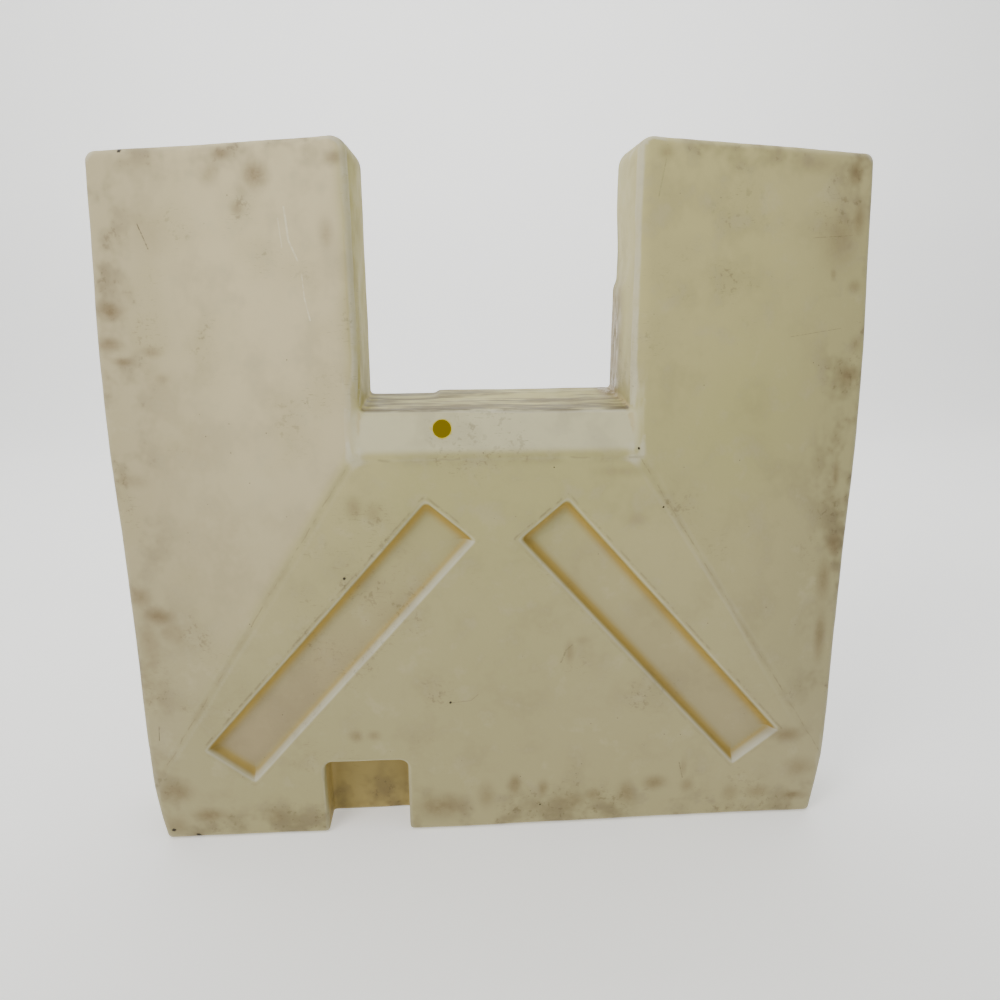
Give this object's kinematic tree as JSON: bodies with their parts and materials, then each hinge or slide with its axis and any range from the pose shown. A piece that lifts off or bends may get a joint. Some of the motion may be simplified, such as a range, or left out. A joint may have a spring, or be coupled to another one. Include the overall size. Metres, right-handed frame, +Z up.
{
  "type": "water filled barrier",
  "caption": "Free-standing hollow moulded barrier slab with a wide top notch, folded front faces, diagonal channels, an open fill hole and a screwed drain plug in a foot pocket.",
  "frame": {"origin": "bottom centre of the slab's bounding box", "axes": "+X to the right seen from the front, +Y from the front to the flat back, +Z up"},
  "size_m": [1.218, 0.1905, 1.14],
  "materials": {
    "polyethylene": "natural unpigmented polyethylene, yellowed, scuffed, satin",
    "brass": "dull turned brass",
    "rubber": "matte black rubber",
    "plug_plastic": "moulded dark grey nylon, satin"
  },
  "bodies": {
    "barrier": {"barrier_shell": "polyethylene", "drain_insert": "brass"},
    "washer": {"drain_washer": "rubber"},
    "plug": {"drain_plug": "plug_plastic"}
  },
  "joints": [
    {"name": "drain_plug_out", "type": "slide", "parent": "barrier", "child": "washer", "axis": [-1, 0, 0], "range_m": [0, 0.022]},
    {"name": "drain_plug_turn", "type": "hinge", "parent": "washer", "child": "plug", "pos_m": [-0.142, -0.0324, 0.042], "axis": [-1, 0, 0], "range_deg": [0, 4360]}
  ],
  "couplings": [
    {"joint": "drain_plug_out", "follows": "drain_plug_turn", "m_per_rad": 0.00028871}
  ]
}
